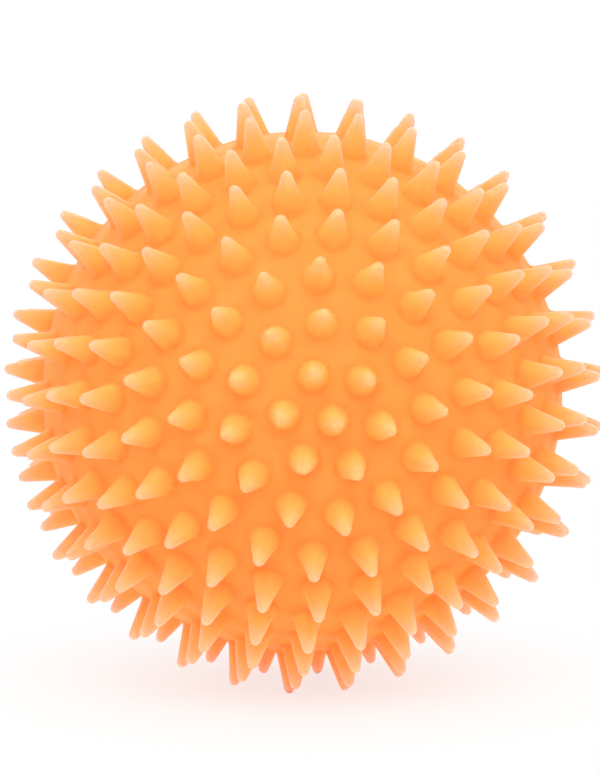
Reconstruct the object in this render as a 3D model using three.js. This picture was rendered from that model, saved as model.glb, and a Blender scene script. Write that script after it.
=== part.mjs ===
// Soft spiky ball: two moulded half shells welded rim to rim, with a reed squeaker in the rear pole.
// Millimetres, +Z up. The origin is the ball's centre. The moulding axis is Y, with the front pole at -Y.
import * as THREE from "three";
import { ConvexHull } from "three/addons/math/ConvexHull.js";
import { mergeGeometries, mergeVertices } from "three/addons/utils/BufferGeometryUtils.js";

// Shell
const BODY_DIAMETER = 86;
const WALL = 3;
const SHELL_SEGMENTS = 40;
const INNER_ARC_STEPS = 8;

// Spikes
const SPIKE_LENGTH = 7;
const SPIKE_BASE_DIAMETER = 5;
const SPIKE_TIP_RADIUS = 0.6;
const SPIKE_SIDES = 6;
// One half's rings, evenly spaced from the pole towards the rim, which is left clear for the weld: how many
// spikes, and the first one's angle about the pole in degrees.
const SPIKE_RINGS = [
  { spikes: 1, turn: 0 },
  { spikes: 6, turn: 53 },
  { spikes: 12, turn: 5.5 },
  { spikes: 17, turn: 9.5 },
  { spikes: 22, turn: 5.5 },
  { spikes: 28, turn: 9 },
  { spikes: 32, turn: 8 },
  { spikes: 33, turn: 4.5 },
  { spikes: 33, turn: 4.5 },
];
// How far the rear half's rings are turned on from the front half's, in degrees
const REAR_RINGS_TURN = 185;

// Squeaker spool, whose flange and lip grip the edge of a hole in the rear shell
const FIT = 0.15;
const NECK_DIAMETER = 12;
const FLANGE_OVERHANG = 2.5;
const FLANGE_THICKNESS = 1.6;
const FLANGE_EDGE = 0.5;
const SEAT_MARGIN = 1;
const LIP_OVERHANG = 1.2;
const LIP_LENGTH = 2;
const BARREL_WALL = 1.5;
const SOUND_HOLE_DIAMETER = 3.2;
const SPOOL_SEGMENTS = 32;

// Squeaker reed, the bed under it and the clamp on its root
const REED_LENGTH = 5.5;
const REED_ROOT = 2;
const REED_WIDTH = 4.4;
const REED_THICKNESS = 0.3;
const REED_GAP = 0.3;
const REED_END_GAP = 1.2;
const CLAMP_LENGTH = 3;
const TROUGH_DIAMETER = 3;
const BLOCK_ARC_STEPS = 12;

// Squeaker cap
const CAP_THICKNESS = 1.2;
const CAP_LEDGE = 0.6;
const VENT_COUNT = 6;
const VENT_DIAMETER = 1.6;
const VENT_CIRCLE_DIAMETER = 5;
const VENT_ARC_STEPS = 10;

// Shell sizes that follow
const bodyRadius = BODY_DIAMETER / 2;
const innerRadius = bodyRadius - WALL;
const spikeBaseRadius = SPIKE_BASE_DIAMETER / 2;
const ringStep = Math.PI / 2 / SPIKE_RINGS.length;

// Squeaker sizes that follow. Heights are along its axis, outwards from the flat seat on the rear shell.
const neckRadius = NECK_DIAMETER / 2;
const holeRadius = neckRadius + FIT;
const flangeRadius = neckRadius + FLANGE_OVERHANG;
const seatRadius = flangeRadius + SEAT_MARGIN;
const seatHeight = Math.sqrt(bodyRadius ** 2 - seatRadius ** 2);
const flangeUnderside = FIT;
const grooveEnd = -WALL - FIT;
const lipRadius = neckRadius + LIP_OVERHANG;
const chamberRadius = neckRadius - BARREL_WALL;
const chamberLength = CLAMP_LENGTH + REED_LENGTH + REED_END_GAP;
const chamberInnerEnd = flangeUnderside - chamberLength;
const capSeatRadius = chamberRadius + CAP_LEDGE;
const barrelEnd = chamberInnerEnd - CAP_THICKNESS;
const blockRadius = chamberRadius - FIT;
const blockFlat = REED_THICKNESS / 2 + REED_GAP;
const clampOuterEnd = chamberInnerEnd + FIT + CLAMP_LENGTH;

const WELD = 1e-4;
const LOOP_TOLERANCE = 1e-3;

// The geometry with its positions alone, and one vertex wherever several coincide.
function weld(geometry) {
  geometry.deleteAttribute("normal");
  geometry.deleteAttribute("uv");
  return mergeVertices(geometry, WELD);
}

// A profile of [radius, height] points turned about Y.
function revolve(profile, segments) {
  const points = profile.map(([radius, height]) => new THREE.Vector2(radius, height));
  return weld(new THREE.LatheGeometry(points, segments));
}

function pointOf(geometry, index) {
  return new THREE.Vector3().fromBufferAttribute(geometry.getAttribute("position"), index);
}

// The indices of a turned geometry's vertices that came from one profile point.
function loopIndices(geometry, [radius, height]) {
  const indices = [];
  for (let i = 0; i < geometry.getAttribute("position").count; i += 1) {
    const { x, y, z } = pointOf(geometry, i);
    if (Math.hypot(Math.hypot(x, z) - radius, y - height) < LOOP_TOLERANCE) {
      indices.push(i);
    }
  }
  return indices;
}

// A spike's profile from its open base on the body's sphere, up a straight taper and over a round tip.
function spikeProfile() {
  const baseHeight = Math.sqrt(bodyRadius ** 2 - spikeBaseRadius ** 2);
  const tipHeight = bodyRadius + SPIKE_LENGTH;
  const tipCentre = tipHeight - SPIKE_TIP_RADIUS;
  const rise = tipCentre - baseHeight;
  const slant = Math.hypot(spikeBaseRadius, rise);
  const taper = Math.atan2(spikeBaseRadius, rise) - Math.asin(SPIKE_TIP_RADIUS / slant);
  return [
    [spikeBaseRadius, baseHeight],
    [SPIKE_TIP_RADIUS * Math.cos(taper), tipCentre + SPIKE_TIP_RADIUS * Math.sin(taper)],
    [0, tipHeight],
  ];
}

// The directions of the spikes on a half whose pole is at -Y, from the given ring to the rim, with all the
// rings turned on by an angle in degrees.
function spikeDirections(firstRing, ringsTurn) {
  const directions = [];
  SPIKE_RINGS.forEach(({ spikes, turn }, ring) => {
    const polar = ring * ringStep;
    for (let i = 0; ring >= firstRing && i < spikes; i += 1) {
      const around = THREE.MathUtils.degToRad(turn + ringsTurn) + (2 * Math.PI * i) / spikes;
      const across = Math.sin(polar);
      directions.push(
        new THREE.Vector3(across * Math.cos(around), -Math.cos(polar), across * Math.sin(around)),
      );
    }
  });
  return directions;
}

// The faces of the convex hull of some points, without those that touch a point on a closed-over end.
function skinBetween(points, ends) {
  const hull = new ConvexHull().setFromPoints([...points, ...ends]);
  const ended = new Set(ends);
  const corners = [];
  hull.faces.forEach((face) => {
    const triangle = [];
    let edge = face.edge;
    do {
      triangle.push(edge.head().point);
      edge = edge.next;
    } while (edge !== face.edge);
    if (!triangle.some((corner) => ended.has(corner))) {
      corners.push(...triangle);
    }
  });
  return weld(new THREE.BufferGeometry().setFromPoints(corners));
}

// A half shell with its pole at -Y, as one closed skin: spikes, the body between them, the rim and the
// inside. poleProfile ends the inside at the pole, on the axis or at the edge of an opening in the body.
function halfShell(firstRing, ringsTurn, poleProfile) {
  const [arcEndRadius, arcEndHeight] = poleProfile[0];
  const arcEnd = Math.atan2(-arcEndHeight, arcEndRadius);
  const profile = [[bodyRadius, 0]];
  for (let i = 0; i < INNER_ARC_STEPS; i += 1) {
    const angle = (arcEnd * i) / INNER_ARC_STEPS;
    profile.push([innerRadius * Math.cos(angle), -innerRadius * Math.sin(angle)]);
  }
  profile.push(...poleProfile);
  const inside = revolve(profile, SHELL_SEGMENTS);

  const points = [];
  for (const edge of [profile[0], profile.at(-1)]) {
    points.push(...loopIndices(inside, edge).map((index) => pointOf(inside, index)));
  }
  const ends = [new THREE.Vector3(0, bodyRadius, 0), new THREE.Vector3(0, -bodyRadius, 0)];

  const spikeEdges = spikeProfile();
  const template = revolve(spikeEdges, SPIKE_SIDES);
  const baseIndices = loopIndices(template, spikeEdges[0]);
  const up = new THREE.Vector3(0, 1, 0);
  const skins = [inside];
  spikeDirections(firstRing, ringsTurn).forEach((direction) => {
    const turn = new THREE.Quaternion().setFromUnitVectors(up, direction);
    const spike = template.clone().applyQuaternion(turn);
    skins.push(spike);
    points.push(...baseIndices.map((index) => pointOf(spike, index)));
    ends.push(direction.multiplyScalar(bodyRadius));
  });
  skins.push(skinBetween(points, ends));
  return weld(mergeGeometries(skins));
}

function frontHalf() {
  return halfShell(0, 0, [[0, -innerRadius]]);
}

// The rear half gives up the spikes round its pole for the squeaker's seat: a flat land with a hole.
function rearHalf() {
  const firstRing = SPIKE_RINGS.findIndex(
    (_, ring) => bodyRadius * Math.sin(ring * ringStep) - spikeBaseRadius > seatRadius,
  );
  const landHeight = seatHeight - WALL;
  const landRadius = Math.sqrt(innerRadius ** 2 - landHeight ** 2);
  return halfShell(firstRing, REAR_RINGS_TURN, [
    [landRadius, -landHeight],
    [holeRadius, -landHeight],
    [holeRadius, -seatHeight],
    [seatRadius, -seatHeight],
  ]);
}

// Flange, neck, barbed lip and barrel, with the sound hole, the chamber and the cap's seat inside.
function squeakerBody() {
  const face = flangeUnderside + FLANGE_THICKNESS;
  const soundHoleRadius = SOUND_HOLE_DIAMETER / 2;
  const outline = [
    [neckRadius, barrelEnd],
    [neckRadius, grooveEnd - LIP_LENGTH],
    [lipRadius, grooveEnd],
    [neckRadius, grooveEnd],
    [neckRadius, flangeUnderside],
    [flangeRadius, flangeUnderside],
    [flangeRadius, face - FLANGE_EDGE],
    [flangeRadius - FLANGE_EDGE, face],
    [soundHoleRadius, face],
    [soundHoleRadius, flangeUnderside],
    [chamberRadius, flangeUnderside],
    [chamberRadius, chamberInnerEnd],
    [capSeatRadius, chamberInnerEnd],
    [capSeatRadius, barrelEnd],
  ];
  return revolve([...outline, outline[0]], SPOOL_SEGMENTS);
}

// A section in the squeaker's X-Z plane, extruded inwards from one height along its axis.
function inwardExtrusion(shape, outerEnd, length, curveSegments) {
  const geometry = new THREE.ExtrudeGeometry(shape, { depth: length, bevelEnabled: false, curveSegments });
  return geometry.rotateX(Math.PI / 2).translate(0, outerEnd, 0);
}

// The half-round block below the reed, with the air trough along its flat.
function reedBed() {
  const edge = Math.asin(blockFlat / blockRadius);
  const section = new THREE.Shape();
  section.absarc(0, 0, blockRadius, Math.PI + edge, 2 * Math.PI - edge, false);
  section.absarc(0, -blockFlat, TROUGH_DIAMETER / 2, 0, -Math.PI, true);
  section.closePath();
  return inwardExtrusion(section, flangeUnderside - FIT, chamberLength - 2 * FIT, BLOCK_ARC_STEPS);
}

// The half-round block above the reed's root.
function reedClamp() {
  const edge = Math.asin(blockFlat / blockRadius);
  const section = new THREE.Shape();
  section.absarc(0, 0, blockRadius, edge, Math.PI - edge, false);
  section.closePath();
  return inwardExtrusion(section, clampOuterEnd, CLAMP_LENGTH, BLOCK_ARC_STEPS);
}

// The reed about its bending line: the root runs back into the clamp, and the free end is round.
function reed() {
  const half = REED_WIDTH / 2;
  const outline = new THREE.Shape();
  outline.moveTo(-half, -REED_ROOT);
  outline.lineTo(half, -REED_ROOT);
  outline.absarc(0, REED_LENGTH - half, half, 0, Math.PI, false);
  outline.closePath();
  const geometry = new THREE.ExtrudeGeometry(outline, {
    depth: REED_THICKNESS,
    bevelEnabled: false,
    curveSegments: BLOCK_ARC_STEPS,
  });
  return geometry.translate(0, 0, -REED_THICKNESS / 2);
}

// The disc in the barrel's inner end, with a ring of vents.
function squeakerCap() {
  const disc = new THREE.Shape();
  disc.absarc(0, 0, capSeatRadius - FIT, 0, 2 * Math.PI, false);
  for (let i = 0; i < VENT_COUNT; i += 1) {
    const around = (2 * Math.PI * (i + 0.5)) / VENT_COUNT;
    const across = VENT_CIRCLE_DIAMETER / 2;
    const vent = new THREE.Path();
    vent.absarc(across * Math.cos(around), across * Math.sin(around), VENT_DIAMETER / 2, 0, 2 * Math.PI, true);
    disc.holes.push(vent);
  }
  return inwardExtrusion(disc, chamberInnerEnd - FIT, CAP_THICKNESS - FIT, VENT_ARC_STEPS);
}

function softOrange() {
  return new THREE.MeshStandardMaterial({ color: 0xff9f49, roughness: 0.5, metalness: 0 });
}

function naturalPlastic() {
  return new THREE.MeshStandardMaterial({ color: 0xefe9dc, roughness: 0.45, metalness: 0 });
}

function reedFilm() {
  return new THREE.MeshStandardMaterial({ color: 0xd9cfae, roughness: 0.3, metalness: 0 });
}

function addMesh(parent, name, geometry, material) {
  const mesh = new THREE.Mesh(geometry, material);
  mesh.name = name;
  parent.add(mesh);
  return mesh;
}

const ball = new THREE.Group();
addMesh(ball, "front_half", frontHalf(), softOrange());
// The rear half is turned half round about the upright axis, so that its pole is at +Y.
addMesh(ball, "rear_half", rearHalf(), softOrange()).rotation.z = Math.PI;

const squeaker = new THREE.Group();
squeaker.position.y = seatHeight;
addMesh(squeaker, "squeaker_body", squeakerBody(), naturalPlastic());
addMesh(squeaker, "squeaker_reed_bed", reedBed(), naturalPlastic());
addMesh(squeaker, "squeaker_reed_clamp", reedClamp(), naturalPlastic());
addMesh(squeaker, "squeaker_reed", reed(), reedFilm()).position.y = clampOuterEnd;
addMesh(squeaker, "squeaker_cap", squeakerCap(), naturalPlastic());
ball.add(squeaker);

export default ball;
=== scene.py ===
import math

import bmesh
import bpy
from bpy.props import FloatProperty, FloatVectorProperty, IntProperty, PointerProperty
from mathutils import Matrix, Vector


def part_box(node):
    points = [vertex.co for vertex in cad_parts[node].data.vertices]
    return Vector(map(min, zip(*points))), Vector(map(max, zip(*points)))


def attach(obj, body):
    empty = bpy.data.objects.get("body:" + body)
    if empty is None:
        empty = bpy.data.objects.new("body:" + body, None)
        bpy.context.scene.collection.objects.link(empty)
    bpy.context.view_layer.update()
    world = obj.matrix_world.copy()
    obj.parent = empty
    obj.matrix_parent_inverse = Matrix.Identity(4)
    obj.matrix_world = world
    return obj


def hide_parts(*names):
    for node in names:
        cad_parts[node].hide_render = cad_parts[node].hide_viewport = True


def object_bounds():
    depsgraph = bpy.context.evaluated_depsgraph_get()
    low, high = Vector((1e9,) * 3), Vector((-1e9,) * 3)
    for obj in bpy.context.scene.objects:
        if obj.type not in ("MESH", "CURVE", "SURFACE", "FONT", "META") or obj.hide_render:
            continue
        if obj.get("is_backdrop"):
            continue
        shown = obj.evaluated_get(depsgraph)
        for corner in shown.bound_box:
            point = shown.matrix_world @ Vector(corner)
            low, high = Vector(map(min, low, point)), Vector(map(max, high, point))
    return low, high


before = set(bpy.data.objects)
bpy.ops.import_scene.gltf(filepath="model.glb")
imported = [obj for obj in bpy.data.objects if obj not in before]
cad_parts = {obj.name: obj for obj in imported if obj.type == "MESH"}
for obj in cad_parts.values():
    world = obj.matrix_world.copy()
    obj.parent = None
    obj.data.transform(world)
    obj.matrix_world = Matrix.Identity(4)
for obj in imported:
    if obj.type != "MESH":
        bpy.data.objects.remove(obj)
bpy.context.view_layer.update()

bl_info = {
    "name": "Spiky Ball",
    "version": (1, 0, 0),
    "blender": (4, 5, 0),
    "location": "3D View > Sidebar > Spiky Ball",
    "description": "Dresses the packed spiky ball: soft half shells, squeaker and studio",
    "category": "Object",
}

IMAGE_SIZE = (600, 780)  # the photograph, in pixels
SENSOR_WIDTH = 36.0  # in millimetres
FRONT, REAR = -1, 1  # the two sides of the weld along Y
SEAT = -1  # ring number of the points round the squeaker's seat

# Lengths in metres
MERGE = 1e-6  # points nearer than this are one
TIP_BAND = 0.000375  # how deep below the farthest point the CAD spikes' apexes are looked for
LAMP_LIFT = 0.0002  # keeps the lamp under the ball off the floor

# Shapes
FILLET_RISE = 1.4  # height of the soft curve at a spike's foot, over its width
SHARP_ANGLE = math.radians(30)  # the spool's edges above this are rounded
EDGE_SEGMENTS = 3  # faces across a rounded edge

# Looks
FOOT_STOP, SIDE_STOP, TIP_STOP = 0.15, 0.5, 0.85  # places of a spike's colours between body and apex
GRAIN_RANGE = (0.3, 0.7)  # the part of the grain's noise that shows
SPECK_STRENGTH = 0.5
BLOTCH_STRENGTH = 0.35
BLOTCH_TINT = (1.0, 0.93, 0.82)
WELD_STRENGTH = 0.7
MILKY_SHADE = 0.93  # the darker patches of the milky plastic
STREAK_SHADE = 0.85  # the darker streaks of the reed
SKY_RANGE = (-0.6, 0.9)  # the studio light grows between these heights of its direction
MIX_INPUTS, MIX_OUTPUT = (0, 6, 7), 2  # factor and colour sockets of a Mix node


def merged_copy(node):
    """A bmesh copy of a CAD node, with its loose triangles joined."""
    copy = bmesh.new()
    copy.from_mesh(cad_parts[node].data)
    bmesh.ops.remove_doubles(copy, verts=copy.verts, dist=MERGE)
    return copy


def shell_radii(node):
    """Outer and inner radius of a half shell's rim, and the reach of its spikes."""
    copy = merged_copy(node)
    rim = [v.co.length for v in copy.verts if abs(v.co.y) < MERGE]
    reach = max(v.co.length for v in copy.verts)
    copy.free()
    return max(rim), min(rim), reach


def spike_directions(node, band):
    """Directions of a half shell's spikes: its points within a band of the farthest one."""
    copy = merged_copy(node)
    reach = max(v.co.length for v in copy.verts)
    directions = [v.co.normalized() for v in copy.verts if v.co.length > reach - band]
    copy.free()
    return directions


BODY_RADIUS, INNER_RADIUS, TIP_RADIUS = shell_radii("front_half")
SPOOL_LOW, SPOOL_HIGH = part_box("squeaker_body")


def length(name, description, default):
    return FloatProperty(name=name, description=description, default=default, min=0, precision=5,
                         subtype="DISTANCE", unit="LENGTH")


def colour(name, description, default):
    return FloatVectorProperty(name=name, description=description, default=default, size=3, min=0, max=1,
                               subtype="COLOR")


def power(name, description, default):
    return FloatProperty(name=name, description=description, default=default, min=0, subtype="POWER",
                         unit="POWER")


def place(name, description, default):
    return FloatVectorProperty(name=name, description=description, default=default, size=3,
                               subtype="TRANSLATION", unit="LENGTH")


class ShellSettings(bpy.types.PropertyGroup):
    """Sizes and colours of the two soft half shells."""

    body_radius: length("Body Radius", "Radius of the ball between its spikes", BODY_RADIUS)
    inner_radius: length("Inner Radius", "Radius of the hollow inside", INNER_RADIUS)
    tip_radius: length("Tip Reach", "Distance of the spike tips from the centre", TIP_RADIUS)
    spike_base: length("Spike Base", "Diameter of a spike where its sides meet the body", 0.005)
    spike_round: length("Spike Rounding", "Radius of a spike's round tip", 0.00088)
    spike_fillet: length("Spike Fillet", "Width of the soft curve at the foot of a spike", 0.0006)
    spike_sides: IntProperty(name="Spike Sides", description="Faces round a spike", default=12, min=6, max=16)
    wall_segments: IntProperty(name="Wall Segments", description="Faces round the inside", default=48, min=24)
    wall_steps: IntProperty(name="Wall Steps", description="Faces from rim to pole inside", default=14, min=4)
    seam_height: length("Seam Height", "How far the weld stands proud of the body", 0.00012)
    seam_width: length("Seam Width", "Half the width of the weld", 0.0004)
    seam_run: length("Seam Run-out", "Distance from the weld to the next edge loop", 0.0016)
    body_colour: colour("Body", "Colour between the spikes", (1.0, 0.33, 0.073))
    # The foot, side, tip and apex colours are partly painted light: paler tips for light shining through
    # them, and a lighter foot and side over the shade round a spike's foot.
    foot_colour: colour("Foot", "Colour at the foot of a spike", (1.0, 0.345, 0.072))
    side_colour: colour("Side", "Colour half way up a spike", (1.0, 0.345, 0.075))
    tip_colour: colour("Tip", "Colour of a spike's tip", (1.0, 0.336, 0.109))
    apex_colour: colour("Apex", "Colour of the very end of a spike", (1.0, 0.295, 0.096))
    weld_colour: colour("Weld", "Colour of the weld between the halves", (1.0, 0.32, 0.12))
    speck_colour: colour("Speck", "Colour of the dust in the plastic", (0.30, 0.09, 0.03))


class SqueakerSettings(bpy.types.PropertyGroup):
    """Sizes and colours of the squeaker in the rear pole."""

    seat_diameter: length("Seat", "Diameter of the flat land under the flange", 0.019)
    hole_diameter: length("Hole", "Diameter of the hole in the rear shell", 0.0123)
    neck_diameter: length("Neck", "Diameter of the spool's neck and barrel", 0.012)
    flange_thickness: length("Flange", "Thickness of the flange", 0.0016)
    flange_recess: length("Recess", "Depth of the dish in the flange's face", 0.0003)
    flange_rim: length("Rim", "Width of the rim round the dish", 0.0016)
    lip_diameter: length("Lip", "Diameter of the barb inside the shell", 0.0144)
    lip_length: length("Lip Length", "Length of the barb's slope", 0.002)
    barrel_wall: length("Barrel Wall", "Thickness of the barrel's wall", 0.0015)
    cap_ledge: length("Cap Ledge", "Width of the step under the cap", 0.0006)
    cap_depth: length("Cap Depth", "Depth of the cap's seat", 0.0012)
    sound_hole: length("Sound Hole", "Diameter of the hole in the flange", 0.0032)
    edge: length("Edge", "Width of the rounding on the spool's edges", 0.00035)
    fit: length("Fit", "Gap between the spool and the shell", 0.00015)
    segments: IntProperty(name="Segments", description="Faces round the spool", default=64, min=24)
    plastic_colour: colour("Plastic", "Colour of the spool, blocks and cap", (0.80, 0.76, 0.66))
    speck_colour: colour("Speck", "Colour of the dust in the plastic", (0.35, 0.28, 0.2))
    reed_colour: colour("Reed", "Colour of the reed film", (0.66, 0.55, 0.34))


class StageSettings(bpy.types.PropertyGroup):
    """Floor, light and camera."""

    distance: length("Distance", "Distance of the camera from the ball's centre", 0.6)
    heading: FloatProperty(name="Heading", description="Turn of the camera to the left of the front pole",
                           default=math.radians(6.14), subtype="ANGLE", unit="ROTATION")
    elevation: FloatProperty(name="Elevation", description="Height of the camera above the horizon",
                             default=math.radians(6.06), subtype="ANGLE", unit="ROTATION")
    outline_pixels: FloatProperty(name="Outline", default=302.3, subtype="PIXEL",
                                  description="Radius of the tips' outline in the image, in pixels")
    centre_pixels: FloatVectorProperty(name="Centre", description="The ball's centre in the image, in pixels",
                                       default=(302.5, 391.3), size=2)
    floor_size: length("Floor Size", "Width of the floor", 6.0)
    floor_colour: colour("Floor", "Colour of the floor", (0.85, 0.85, 0.85))
    shadow_core: length("Shadow Core", "Distance from the centre where the floor starts to whiten", 0.045)
    shadow_edge: length("Shadow Edge", "Distance from the centre where the camera sees pure white", 0.1)
    shadow_white: FloatProperty(name="Shadow White", default=0.7, min=0, max=1,
                                description="Share of white that the camera sees in the shadow")
    sky_low: FloatProperty(name="Low Light", default=0.6,
                           description="Strength of the studio's light from below")
    sky_high: FloatProperty(name="High Light", default=1.0,
                            description="Strength of the studio's light from above")
    key_power: power("Key Power", "Power of the soft light above the camera", 4.3)
    key_place: place("Key Place", "Place of the soft light above the camera", (-0.05, -0.66, 0.46))
    under_power: power("Under Power", "Power of the soft light under the ball", 0.01)
    under_size: length("Under Size", "Width of the soft light under the ball", 0.1)
    back_power: power("Back Power", "Power of the soft light behind the ball", 1.4)
    back_place: place("Back Place", "Place of the soft light behind the ball", (0.05, 0.7, 0.25))
    lamp_size: length("Lamp Size", "Width of the soft lights above the camera and behind the ball", 0.8)


class BallSettings(bpy.types.PropertyGroup):
    """All settings of the spiky ball."""

    shell: PointerProperty(type=ShellSettings, name="Shell", description="The two half shells")
    squeaker: PointerProperty(type=SqueakerSettings, name="Squeaker", description="The squeaker")
    stage: PointerProperty(type=StageSettings, name="Stage", description="Floor, light and camera")


def socket(tree, name, kind, default=None, out=False):
    """Adds a named input or output to a node group."""
    made = tree.interface.new_socket(name=name, in_out="OUTPUT" if out else "INPUT", socket_type=kind)
    if default is not None:
        made.default_value = default


def add_node(tree, kind, **settings):
    """Adds a node and sets its properties, or its inputs where the name starts with a capital."""
    node = tree.nodes.new(kind)
    for name, value in settings.items():
        if name[0].isupper():
            node.inputs[name.replace("_", " ")].default_value = value
        else:
            setattr(node, name, value)
    return node


def join(tree, source, target):
    tree.links.new(source, target)
    return target.node


def maths(tree, operation, first, second=None):
    """A Math node on one or two sockets or numbers."""
    node = add_node(tree, "ShaderNodeMath", operation=operation)
    for number, value in enumerate((first, second)):
        if isinstance(value, bpy.types.NodeSocket):
            join(tree, value, node.inputs[number])
        elif value is not None:
            node.inputs[number].default_value = value
    return node.outputs[0]


def distance_from_origin(tree, vector):
    """The length of a vector socket."""
    node = add_node(tree, "ShaderNodeVectorMath", operation="LENGTH")
    join(tree, vector, node.inputs[0])
    return node.outputs["Value"]


def ramp_between(tree, value, low, high, to_low=0.0, to_high=1.0):
    """A smooth Map Range of a socket, held at its ends."""
    node = add_node(tree, "ShaderNodeMapRange", interpolation_type="SMOOTHSTEP", From_Min=low, From_Max=high,
                    To_Min=to_low, To_Max=to_high)
    join(tree, value, node.inputs["Value"])
    return node.outputs["Result"]


def mixed(tree, factor, first, second, blend="MIX"):
    """A colour Mix of two sockets or colours by a socket or number."""
    node = add_node(tree, "ShaderNodeMix", data_type="RGBA", blend_type=blend)
    for number, value in zip(MIX_INPUTS, (factor, first, second)):
        if isinstance(value, bpy.types.NodeSocket):
            join(tree, value, node.inputs[number])
        else:
            node.inputs[number].default_value = (*value, 1.0) if number else value
    return node.outputs[MIX_OUTPUT]


def moulded_surface_group():
    """Node group: soft blotches and fine matt grain of moulded plastic."""
    name = "Moulded Surface"
    if name in bpy.data.node_groups:
        return bpy.data.node_groups[name]
    tree = bpy.data.node_groups.new(name, "ShaderNodeTree")
    socket(tree, "Vector", "NodeSocketVector")
    socket(tree, "Blotch Scale", "NodeSocketFloat", 60.0)
    socket(tree, "Grain Scale", "NodeSocketFloat", 2500.0)
    socket(tree, "Blotch", "NodeSocketFloat", out=True)
    socket(tree, "Grain", "NodeSocketFloat", out=True)
    given = tree.nodes.new("NodeGroupInput")
    result = tree.nodes.new("NodeGroupOutput")
    for scale, output, detail in (("Blotch Scale", "Blotch", 3.0), ("Grain Scale", "Grain", 2.0)):
        noise = add_node(tree, "ShaderNodeTexNoise", Detail=detail, Roughness=0.55)
        join(tree, given.outputs["Vector"], noise.inputs["Vector"])
        join(tree, given.outputs[scale], noise.inputs["Scale"])
        join(tree, noise.outputs["Fac"], result.inputs[output])
    return tree


def stray_specks_group():
    """Node group: a mask of sparse round specks."""
    name = "Stray Specks"
    if name in bpy.data.node_groups:
        return bpy.data.node_groups[name]
    tree = bpy.data.node_groups.new(name, "ShaderNodeTree")
    socket(tree, "Vector", "NodeSocketVector")
    socket(tree, "Scale", "NodeSocketFloat", 300.0)
    socket(tree, "Size", "NodeSocketFloat", 0.08)
    socket(tree, "Share", "NodeSocketFloat", 0.05)
    socket(tree, "Mask", "NodeSocketFloat", out=True)
    given = tree.nodes.new("NodeGroupInput")
    result = tree.nodes.new("NodeGroupOutput")
    cells = tree.nodes.new("ShaderNodeTexVoronoi")
    join(tree, given.outputs["Vector"], cells.inputs["Vector"])
    join(tree, given.outputs["Scale"], cells.inputs["Scale"])
    parts = join(tree, cells.outputs["Color"], tree.nodes.new("ShaderNodeSeparateColor").inputs["Color"])
    chosen = maths(tree, "LESS_THAN", parts.outputs["Red"], given.outputs["Share"])
    nearness = maths(tree, "DIVIDE", cells.outputs["Distance"], given.outputs["Size"])
    dot = ramp_between(tree, nearness, low=0.6, high=1.0, to_low=1.0, to_high=0.0)
    join(tree, maths(tree, "MULTIPLY", dot, chosen), result.inputs["Mask"])
    return tree


def placed_group(tree, group, vector, **values):
    """Places a node group in a material with its own values."""
    node = add_node(tree, "ShaderNodeGroup", node_tree=group)
    join(tree, vector, node.inputs["Vector"])
    for name, value in values.items():
        node.inputs[name.replace("_", " ")].default_value = value
    return node


def blank_material(name):
    material = bpy.data.materials.new(name)
    material.use_nodes = True
    tree = material.node_tree
    where = tree.nodes.new("ShaderNodeTexCoord").outputs["Object"]
    return material, tree, where, tree.nodes["Principled BSDF"]


def grained(tree, grain, shader, roughness, strength, distance):
    """Feeds a grain to a shader's roughness and, as a bump, to its normal."""
    join(tree, ramp_between(tree, grain, *GRAIN_RANGE, *roughness), shader.inputs["Roughness"])
    bump = add_node(tree, "ShaderNodeBump", Strength=strength, Distance=distance)
    join(tree, grain, bump.inputs["Height"])
    join(tree, bump.outputs["Normal"], shader.inputs["Normal"])


def specked(tree, specks, under, speck_colour):
    """Lays specks over a colour."""
    return mixed(tree, maths(tree, "MULTIPLY", specks.outputs["Mask"], SPECK_STRENGTH), under, speck_colour)


def shaded(value, share):
    """A darker shade of a colour."""
    return tuple(share * part for part in value)


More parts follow.
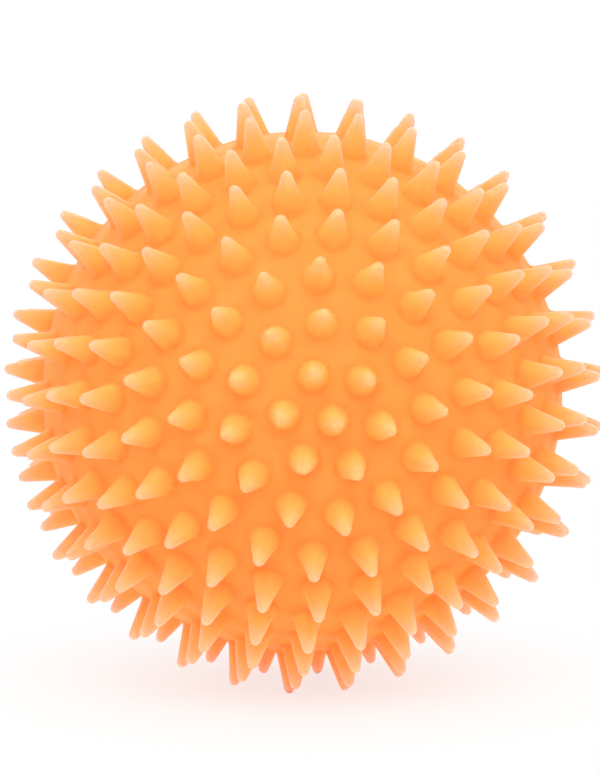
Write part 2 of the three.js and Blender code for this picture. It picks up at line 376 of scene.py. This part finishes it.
def soft_orange(settings):
    """Frosted, see-through orange plastic with the weld at Y = 0; its colour pales towards the spike tips as
    painted light for the light that shines through the thin tips.
    """
    material, tree, where, shader = blank_material("soft_orange")
    surface = placed_group(tree, moulded_surface_group(), where, Blotch_Scale=55.0, Grain_Scale=1800.0)
    specks = placed_group(tree, stray_specks_group(), where, Scale=210.0, Size=0.045, Share=0.05)

    radius = distance_from_origin(tree, where)
    climb = add_node(tree, "ShaderNodeMapRange", From_Min=settings.body_radius, From_Max=settings.tip_radius)
    join(tree, radius, climb.inputs["Value"])
    ramp = add_node(tree, "ShaderNodeValToRGB")
    # Painted light: the colours up a spike stand in for light and shade. The paler tips stand in for light
    # shining through the thin tips, and the slightly lighter foot and side paint light over the shade round a
    # spike's foot.
    stops = ((0.0, settings.body_colour), (FOOT_STOP, settings.foot_colour),
             (SIDE_STOP, settings.side_colour), (TIP_STOP, settings.tip_colour), (1.0, settings.apex_colour))
    while len(ramp.color_ramp.elements) < len(stops):
        ramp.color_ramp.elements.new(1.0)
    for element, (position, value) in zip(ramp.color_ramp.elements, stops):
        element.position = position
        element.color = (*value, 1.0)
    join(tree, climb.outputs["Result"], ramp.inputs["Fac"])

    blotch = ramp_between(tree, surface.outputs["Blotch"], low=0.35, high=0.7)
    tinted = mixed(tree, maths(tree, "MULTIPLY", blotch, BLOTCH_STRENGTH), ramp.outputs["Color"], BLOTCH_TINT,
                   "MULTIPLY")
    parts = join(tree, where, tree.nodes.new("ShaderNodeSeparateXYZ").inputs[0])
    from_weld = maths(tree, "ABSOLUTE", parts.outputs["Y"])
    seam = ramp_between(tree, from_weld, settings.seam_width, settings.seam_width + settings.seam_run,
                        WELD_STRENGTH, 0.0)
    welded = mixed(tree, seam, tinted, settings.weld_colour)
    join(tree, specked(tree, specks, welded, settings.speck_colour), shader.inputs["Base Color"])
    grained(tree, surface.outputs["Grain"], shader, roughness=(0.42, 0.54), strength=0.12, distance=0.00006)
    # No light scatters across the weld, where the two skins end.
    join(tree, ramp_between(tree, from_weld, settings.seam_width, 2 * settings.seam_run),
         shader.inputs["Subsurface Weight"])
    shader.inputs["Subsurface Radius"].default_value = (0.4, 1.8, 3.1)
    shader.inputs["Subsurface Scale"].default_value = 0.0035
    shader.inputs["Specular IOR Level"].default_value = 0.03
    return material


def natural_plastic(settings):
    """Uncoloured polythene: milky, faintly mottled, with a fine matt grain."""
    material, tree, where, shader = blank_material("natural_plastic")
    surface = placed_group(tree, moulded_surface_group(), where, Blotch_Scale=180.0, Grain_Scale=4000.0)
    specks = placed_group(tree, stray_specks_group(), where, Scale=900.0, Size=0.08, Share=0.02)
    blotch = ramp_between(tree, surface.outputs["Blotch"], low=0.3, high=0.7)
    milky = mixed(tree, blotch, settings.plastic_colour, shaded(settings.plastic_colour, MILKY_SHADE))
    join(tree, specked(tree, specks, milky, settings.speck_colour), shader.inputs["Base Color"])
    grained(tree, surface.outputs["Grain"], shader, roughness=(0.34, 0.48), strength=0.15, distance=0.00003)
    shader.inputs["Subsurface Weight"].default_value = 0.35
    shader.inputs["Subsurface Radius"].default_value = (1.0, 0.9, 0.7)
    shader.inputs["Subsurface Scale"].default_value = 0.0008
    return material


def reed_film(settings):
    """Thin amber film with streaks along the reed."""
    material, tree, where, shader = blank_material("reed_film")
    stretched = add_node(tree, "ShaderNodeMapping", Scale=(1.0, 0.06, 1.0))
    join(tree, where, stretched.inputs["Vector"])
    surface = placed_group(tree, moulded_surface_group(), stretched.outputs["Vector"], Blotch_Scale=1500.0,
                           Grain_Scale=9000.0)
    streak = ramp_between(tree, surface.outputs["Blotch"], low=0.35, high=0.65)
    tint = mixed(tree, streak, settings.reed_colour, shaded(settings.reed_colour, STREAK_SHADE))
    join(tree, tint, shader.inputs["Base Color"])
    grained(tree, surface.outputs["Grain"], shader, roughness=(0.18, 0.3), strength=0.1, distance=0.00002)
    return material


def finished_piece(name, bm, material):
    """Makes an object of a bmesh, at the origin, with its material."""
    mesh = bpy.data.meshes.new(name)
    bm.to_mesh(mesh)
    bm.free()
    mesh.materials.append(material)
    piece = bpy.data.objects.new(name, mesh)
    bpy.context.scene.collection.objects.link(piece)
    return piece


def lathe(bm, segments):
    """Turns everything in a bmesh once round Y."""
    bmesh.ops.spin(bm, geom=bm.verts[:] + bm.edges[:], axis=(0, 1, 0), angle=2 * math.pi, steps=segments,
                   use_merge=True)
    bmesh.ops.remove_doubles(bm, verts=bm.verts, dist=MERGE)


def spike_rows(settings):
    """Radius and height of each edge loop up a spike, from the body to the apex."""
    body = settings.body_radius
    base = settings.spike_base / 2
    tip = settings.spike_round
    fillet = settings.spike_fillet
    base_height = math.sqrt(body ** 2 - base ** 2)
    tip_centre = settings.tip_radius - tip
    rise = tip_centre - base_height
    taper = math.atan2(base, rise) - math.asin(tip / math.hypot(base, rise))
    foot = Vector((base + fillet, math.sqrt(body ** 2 - (base + fillet) ** 2)))
    corner = Vector((base, base_height))
    shoulder = corner + FILLET_RISE * fillet * Vector((-math.sin(taper), math.cos(taper)))
    curve_middle = (foot + 2 * corner + shoulder) / 4  # of the quadratic curve drawn by these three points
    rows = [foot, curve_middle, shoulder]
    for angle in (taper, (taper + math.pi / 2) / 2):
        rows.append(Vector((tip * math.cos(angle), tip_centre + tip * math.sin(angle))))
    rows.append(Vector((0, settings.tip_radius)))
    return rows


def turned_inside(bm, side, seat, settings):
    """Spins the rim and the inside of a half shell about Y. seat is None, or the radii of the squeaker's
    flat land and hole. Returns the loops that the outer skin joins."""
    rim = bm.verts.new((settings.body_radius, 0, 0))
    inner = bm.verts.new((settings.inner_radius, 0, 0))
    bm.edges.new((rim, inner))
    arc = math.pi / 2
    if seat:
        seat_radius, hole_radius = seat
        seat_height = math.sqrt(settings.body_radius ** 2 - seat_radius ** 2)
        land_height = seat_height - (settings.body_radius - settings.inner_radius)
        arc = math.asin(land_height / settings.inner_radius)
    turned = bmesh.ops.spin(bm, geom=[inner], axis=(0, 0, 1), angle=side * arc, steps=settings.wall_steps)
    end = next(g for g in turned["geom_last"] if isinstance(g, bmesh.types.BMVert))
    if seat:
        corners = ((hole_radius, land_height), (hole_radius, seat_height), (seat_radius, seat_height))
        for radius, height in corners:
            corner = bm.verts.new((radius, side * height, 0))
            bm.edges.new((end, corner))
            end = corner
    lathe(bm, settings.wall_segments)
    middle = (settings.body_radius + settings.inner_radius) / 2
    rim_loop = [v for v in bm.verts if abs(v.co.y) < MERGE and v.co.length > middle]
    seat_loop = []
    if seat:
        middle = (seat_radius + hole_radius) / 2
        seat_loop = [v for v in bm.verts
                     if abs(v.co.y - side * seat_height) < MERGE and math.hypot(v.co.x, v.co.z) > middle]
    return rim_loop, seat_loop


def raise_seam(bm, skin, rim_loop, side, settings):
    """Cuts edge loops beside the rim and lifts the rim into the low bead of the weld."""
    for distance in (settings.seam_width + settings.seam_run, settings.seam_width):
        faces = [f for f in skin if f.is_valid]
        geometry = list({e for f in faces for e in f.edges} | {v for f in faces for v in f.verts}) + faces
        cut = bmesh.ops.bisect_plane(bm, geom=geometry, plane_co=(0, side * distance, 0),
                                     plane_no=(0, side, 0), dist=MERGE)
        skin = [g for g in cut["geom"] if isinstance(g, bmesh.types.BMFace)]
        for vert in (g for g in cut["geom_cut"] if isinstance(g, bmesh.types.BMVert)):
            vert.co = vert.co.normalized() * settings.body_radius
    grown = 1 + settings.seam_height / settings.body_radius
    bmesh.ops.scale(bm, verts=rim_loop, vec=(grown, 1, grown))


def half_shell(node, side, seat, settings):
    """One half shell as a closed skin: inside, rim, weld, body and spikes."""
    rows = spike_rows(settings)
    bm = bmesh.new()
    ring = bm.verts.layers.int.new("ring")
    rim_loop, seat_loop = turned_inside(bm, side, seat, settings)
    for vert in seat_loop:
        vert[ring] = SEAT
    points = rim_loop + seat_loop
    for number, direction in enumerate(spike_directions(node, TIP_BAND), 1):
        turn = Vector((0, 0, 1)).rotation_difference(direction).to_matrix().to_4x4()
        foot = bmesh.ops.create_circle(bm, segments=settings.spike_sides, radius=rows[0].x,
                                       matrix=turn @ Matrix.Translation((0, 0, rows[0].y)))["verts"]
        for vert in foot:
            vert[ring] = number
        points += foot
    hull = bmesh.ops.convex_hull(bm, input=points)
    skin = [g for g in hull["geom"] if isinstance(g, bmesh.types.BMFace)]
    open_ends = [f for f in skin if all(abs(v.co.y) < MERGE for v in f.verts)]
    open_ends += [f for f in skin if all(v[ring] == SEAT for v in f.verts)]
    bmesh.ops.delete(bm, geom=open_ends, context="FACES")
    skin = [f for f in skin if f.is_valid]
    caps = [f for f in skin if len({v[ring] for v in f.verts}) == 1 and f.verts[0][ring] > 0]
    feet = bmesh.ops.dissolve_faces(bm, faces=caps)["region"]
    bmesh.ops.delete(bm, geom=[v for v in bm.verts if not v.link_faces], context="VERTS")
    bmesh.ops.delete(bm, geom=[e for e in bm.edges if not e.link_faces], context="EDGES")
    if not all(e.is_manifold for e in bm.edges):
        raise RuntimeError("the skin of " + node + " isn't closed")
    bmesh.ops.recalc_face_normals(bm, faces=bm.faces)
    raise_seam(bm, [f for f in skin if f.is_valid], rim_loop, side, settings)
    narrowing = math.cos(math.pi / settings.spike_sides)
    for lower, upper in zip(rows, rows[1:-1]):
        bmesh.ops.inset_individual(bm, faces=feet, thickness=(lower.x - upper.x) * narrowing,
                                   depth=upper.y - lower.y, use_even_offset=True)
    bmesh.ops.poke(bm, faces=feet, offset=rows[-1].y - rows[-2].y)
    for face in bm.faces:
        face.smooth = True
    for edge in bm.edges:
        if all(abs(v.co.y) < MERGE or v[ring] == SEAT for v in edge.verts):
            edge.smooth = False
    bm.verts.layers.int.remove(ring)
    return bm


class SPIKYBALL_OT_half_shells(bpy.types.Operator):
    """Builds the two soft half shells with their spikes"""

    bl_idname = "spiky_ball.half_shells"
    bl_label = "Half Shells"

    def execute(self, context):
        settings = context.scene.spiky_ball.shell
        squeaker = context.scene.spiky_ball.squeaker
        material = soft_orange(settings)
        seat = (squeaker.seat_diameter / 2, squeaker.hole_diameter / 2)
        for name, node, side, hole in (("front_shell", "front_half", FRONT, None),
                                       ("rear_shell", "rear_half", REAR, seat)):
            piece = finished_piece(name, half_shell(node, side, hole, settings), material)
            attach(piece, "ball")
            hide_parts(node)
        return {"FINISHED"}


def spool_outline(settings):
    """Radius and height of the spool's section, anticlockwise from the barrel's inner end."""
    neck = settings.neck_diameter / 2
    lip = settings.lip_diameter / 2
    chamber = neck - settings.barrel_wall
    cap = chamber + settings.cap_ledge
    hole = settings.sound_hole / 2
    flange = SPOOL_HIGH.x
    face = SPOOL_HIGH.y
    under = face - settings.flange_thickness
    rim = flange - settings.flange_rim
    groove = under - 2 * settings.fit - (BODY_RADIUS - INNER_RADIUS)
    end = SPOOL_LOW.y
    ledge = end + settings.cap_depth
    dish = face - settings.flange_recess
    return [(neck, end), (neck, groove - settings.lip_length), (lip, groove), (neck, groove), (neck, under),
            (flange, under), (flange, face), (rim, face), (rim - settings.flange_recess, dish), (hole, dish),
            (hole, under), (chamber, under), (chamber, ledge), (cap, ledge), (cap, end)]


class SPIKYBALL_OT_squeaker_spool(bpy.types.Operator):
    """Turns the squeaker's flanged spool and rounds its edges"""

    bl_idname = "spiky_ball.squeaker_spool"
    bl_label = "Squeaker Spool"

    def execute(self, context):
        settings = context.scene.spiky_ball.squeaker
        bm = bmesh.new()
        corners = [bm.verts.new((radius, height, 0)) for radius, height in spool_outline(settings)]
        for first, second in zip(corners, corners[1:] + corners[:1]):
            bm.edges.new((first, second))
        lathe(bm, settings.segments)
        bmesh.ops.recalc_face_normals(bm, faces=bm.faces)
        sharp = [e for e in bm.edges if e.is_manifold and e.calc_face_angle() > SHARP_ANGLE]
        bmesh.ops.bevel(bm, geom=sharp, offset=settings.edge, offset_type="OFFSET", affect="EDGES",
                        segments=EDGE_SEGMENTS, profile=0.5, material=-1, clamp_overlap=True)
        bmesh.ops.remove_doubles(bm, verts=bm.verts, dist=MERGE)
        for face in bm.faces:
            face.smooth = True
        piece = finished_piece("squeaker_spool", bm, natural_plastic(settings))
        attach(piece, "ball")
        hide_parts("squeaker_body")
        return {"FINISHED"}


class SPIKYBALL_OT_squeaker_inside(bpy.types.Operator):
    """Gives the reed, its bed and clamp and the cap their plastics"""

    bl_idname = "spiky_ball.squeaker_inside"
    bl_label = "Squeaker Inside"

    def execute(self, context):
        settings = context.scene.spiky_ball.squeaker
        plastic = bpy.data.materials["natural_plastic"]
        film = reed_film(settings)
        for node, material in (("squeaker_reed_bed", plastic), ("squeaker_reed_clamp", plastic),
                               ("squeaker_cap", plastic), ("squeaker_reed", film)):
            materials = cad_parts[node].data.materials
            materials.clear()
            materials.append(material)
        return {"FINISHED"}


def blended(tree, factor, first, second, output):
    """Mixes two shader nodes into the output node of a material or world."""
    blend = tree.nodes.new("ShaderNodeMixShader")
    join(tree, factor, blend.inputs[0])
    join(tree, first.outputs[0], blend.inputs[1])
    join(tree, second.outputs[0], blend.inputs[2])
    join(tree, blend.outputs[0], tree.nodes[output].inputs["Surface"])


def studio_floor(settings):
    """A wide pale floor under the lowest spikes, white in the distance."""
    bm = bmesh.new()
    bmesh.ops.create_grid(bm, x_segments=1, y_segments=1, size=settings.floor_size / 2,
                          matrix=Matrix.Translation((0, 0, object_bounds()[0].z)))
    material, tree, where, shader = blank_material("studio_floor")
    shader.inputs["Base Color"].default_value = (*settings.floor_colour, 1.0)
    shader.inputs["Roughness"].default_value = 0.9
    shader.inputs["Specular IOR Level"].default_value = 0.0
    reach = distance_from_origin(tree, where)
    far = ramp_between(tree, reach, settings.shadow_core, settings.shadow_edge, settings.shadow_white, 1.0)
    seen = maths(tree, "MULTIPLY", far, tree.nodes.new("ShaderNodeLightPath").outputs["Is Camera Ray"])
    white = add_node(tree, "ShaderNodeEmission", Strength=1.0)
    blended(tree, seen, shader, white, "Material Output")
    return finished_piece("studio_floor", bm, material)


def studio_world(settings):
    """Even white light that falls off a little towards the floor, and a white background."""
    world = bpy.data.worlds.new("studio_world")
    world.use_nodes = True
    tree = world.node_tree
    light = tree.nodes["Background"]
    light.inputs["Color"].default_value = (1.0, 1.0, 1.0, 1.0)
    where = tree.nodes.new("ShaderNodeTexCoord").outputs["Generated"]
    parts = join(tree, where, tree.nodes.new("ShaderNodeSeparateXYZ").inputs[0])
    join(tree, ramp_between(tree, parts.outputs["Z"], *SKY_RANGE, settings.sky_low, settings.sky_high),
         light.inputs["Strength"])
    white = add_node(tree, "ShaderNodeBackground", Color=(1.0, 1.0, 1.0, 1.0), Strength=1.0)
    path = tree.nodes.new("ShaderNodeLightPath")
    seen = maths(tree, "MAXIMUM", path.outputs["Is Camera Ray"],
                 maths(tree, "MAXIMUM", path.outputs["Is Glossy Ray"], path.outputs["Is Transmission Ray"]))
    blended(tree, seen, light, white, "World Output")
    return world


def studio_lamp(name, location, energy, size):
    """A soft round light that faces the ball, unseen by the camera."""
    data = bpy.data.lights.new(name, "AREA")
    data.shape = "DISK"
    data.size = size
    data.energy = energy
    lamp = bpy.data.objects.new(name, data)
    lamp.location = location
    lamp.rotation_euler = (-lamp.location).to_track_quat("-Z", "Y").to_euler()
    lamp.visible_camera = False
    bpy.context.scene.collection.objects.link(lamp)


def studio_camera(settings):
    """The photograph's view: the ball's outline and centre fall on the given pixels."""
    data = bpy.data.cameras.new("studio_camera")
    long_side = max(IMAGE_SIZE)
    reach = settings.distance / TIP_RADIUS
    data.sensor_width = SENSOR_WIDTH
    data.lens = data.sensor_width * settings.outline_pixels * math.sqrt(reach ** 2 - 1) / long_side
    data.shift_x = (IMAGE_SIZE[0] / 2 - settings.centre_pixels[0]) / long_side
    data.shift_y = (settings.centre_pixels[1] - IMAGE_SIZE[1] / 2) / long_side
    data.clip_start = 0.01
    camera = bpy.data.objects.new("studio_camera", data)
    level = math.cos(settings.elevation)
    back = Vector((-math.sin(settings.heading) * level, -math.cos(settings.heading) * level,
                   math.sin(settings.elevation)))
    camera.location = back * settings.distance
    camera.rotation_euler = (-back).to_track_quat("-Z", "Y").to_euler()
    bpy.context.scene.collection.objects.link(camera)
    bpy.context.scene.camera = camera


class SPIKYBALL_OT_stage(bpy.types.Operator):
    """Sets up the floor, the light and the camera"""

    bl_idname = "spiky_ball.stage"
    bl_label = "Stage"

    def execute(self, context):
        settings = context.scene.spiky_ball.stage
        studio_floor(settings)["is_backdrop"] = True
        context.scene.world = studio_world(settings)
        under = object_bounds()[0].z + LAMP_LIFT
        studio_lamp("studio_key", settings.key_place, settings.key_power, settings.lamp_size)
        studio_lamp("studio_under", (0.0, 0.0, under), settings.under_power, settings.under_size)
        studio_lamp("studio_back", settings.back_place, settings.back_power, settings.lamp_size)
        studio_camera(settings)
        context.scene.view_settings.view_transform = "Standard"
        return {"FINISHED"}


class SPIKYBALL_PT_sidebar(bpy.types.Panel):
    """Lists the spiky ball's settings and operators"""

    bl_idname = "SPIKYBALL_PT_sidebar"
    bl_label = "Spiky Ball"
    bl_space_type = "VIEW_3D"
    bl_region_type = "UI"
    bl_category = "Spiky Ball"

    def draw(self, context):
        settings = context.scene.spiky_ball
        for title, group, operators in (
            ("Shell", settings.shell, (SPIKYBALL_OT_half_shells,)),
            ("Squeaker", settings.squeaker, (SPIKYBALL_OT_squeaker_spool, SPIKYBALL_OT_squeaker_inside)),
            ("Stage", settings.stage, (SPIKYBALL_OT_stage,)),
        ):
            box = self.layout.box()
            box.label(text=title)
            for name in group.__annotations__:
                box.prop(group, name)
            for operator in operators:
                box.operator(operator.bl_idname)


CLASSES = (
    ShellSettings,
    SqueakerSettings,
    StageSettings,
    BallSettings,
    SPIKYBALL_OT_half_shells,
    SPIKYBALL_OT_squeaker_spool,
    SPIKYBALL_OT_squeaker_inside,
    SPIKYBALL_OT_stage,
    SPIKYBALL_PT_sidebar,
)


def register():
    for cls in CLASSES:
        bpy.utils.register_class(cls)
    bpy.types.Scene.spiky_ball = PointerProperty(type=BallSettings)


def unregister():
    del bpy.types.Scene.spiky_ball
    for cls in reversed(CLASSES):
        bpy.utils.unregister_class(cls)


def main():
    register()
    bpy.ops.spiky_ball.half_shells()
    bpy.ops.spiky_ball.squeaker_spool()
    bpy.ops.spiky_ball.squeaker_inside()
    bpy.ops.spiky_ball.stage()


if __name__ == "__main__":
    main()
